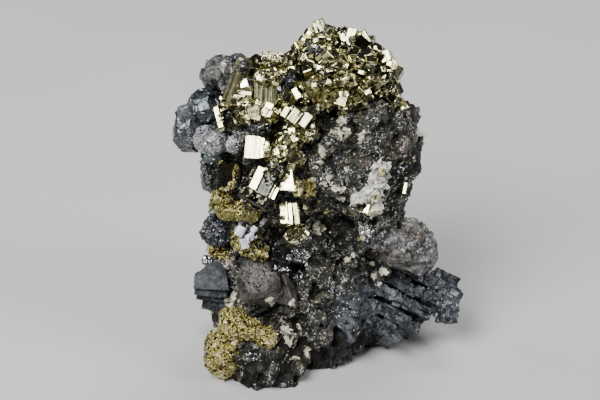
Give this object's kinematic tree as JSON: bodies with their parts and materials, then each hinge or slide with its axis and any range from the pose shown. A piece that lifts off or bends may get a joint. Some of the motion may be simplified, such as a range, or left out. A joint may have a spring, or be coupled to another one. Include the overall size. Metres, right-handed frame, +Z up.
{
  "type": "chalcopyrite specimen",
  "caption": "Hand-size ore specimen: brassy chalcopyrite, striped pyrite crystals, sphalerite, galena and calcite on dark rock, standing on a flat foot.",
  "frame": {"origin": "middle of the flat foot that the specimen stands on", "axes": "+Z up, -Y towards the show side with the crystals, +X towards the galena"},
  "size_m": [0.0595, 0.0381, 0.068],
  "materials": {
    "rock": "near-black, granular and sparkling, rust stained in places",
    "gangue": "grey-brown, dull, rust stained",
    "pyrite": "pale brassy metal, mirror faces with fine growth stripes",
    "chalcopyrite": "deep brass-yellow metal, granular, tarnished green to brown in places",
    "sphalerite": "dark blue-grey, resinous to half metallic",
    "pale_sphalerite": "grey to grey-brown, resinous",
    "galena": "lead-grey metal, stepped cleavage",
    "calcite": "white to lilac-white, slightly translucent"
  },
  "bodies": {
    "root": {"pyrite_bright_cube": "pyrite", "pyrite_dark_block": "pyrite", "pyrite_spike": "pyrite", "pyrite_low_prism": "pyrite", "pyrite_blade": "pyrite", "pyrite_striped_block": "pyrite", "pyrite_banded_cube": "pyrite", "pyrite_corner_sliver": "pyrite", "pyrite_centre_cluster": "pyrite", "pyrite_upper_cluster": "pyrite", "pyrite_saddle_cluster": "pyrite", "pyrite_cap": "pyrite", "sphalerite_top_knob": "pale_sphalerite", "sphalerite_upper_knob": "sphalerite", "sphalerite_left_knob": "sphalerite", "sphalerite_pale_crystal": "pale_sphalerite", "sphalerite_small_rhomb": "pale_sphalerite", "sphalerite_teal_crystal": "sphalerite", "sphalerite_fine_crystal": "sphalerite", "sphalerite_blue_ball": "sphalerite", "sphalerite_grey_cube": "sphalerite", "sphalerite_stepped_foot": "sphalerite", "sphalerite_brown_knob": "pale_sphalerite", "sphalerite_black_cube": "sphalerite", "chalcopyrite_lobe": "chalcopyrite", "chalcopyrite_left_crust": "chalcopyrite", "chalcopyrite_dark_crystal": "chalcopyrite", "chalcopyrite_ball": "chalcopyrite", "chalcopyrite_ledge": "chalcopyrite", "chalcopyrite_patch": "chalcopyrite", "chalcopyrite_honey_patch": "chalcopyrite", "galena_steps": "galena", "gangue_knob": "gangue", "calcite_ridge": "calcite", "calcite_tuft": "calcite", "matrix_rock": "rock"}
  },
  "joints": []
}
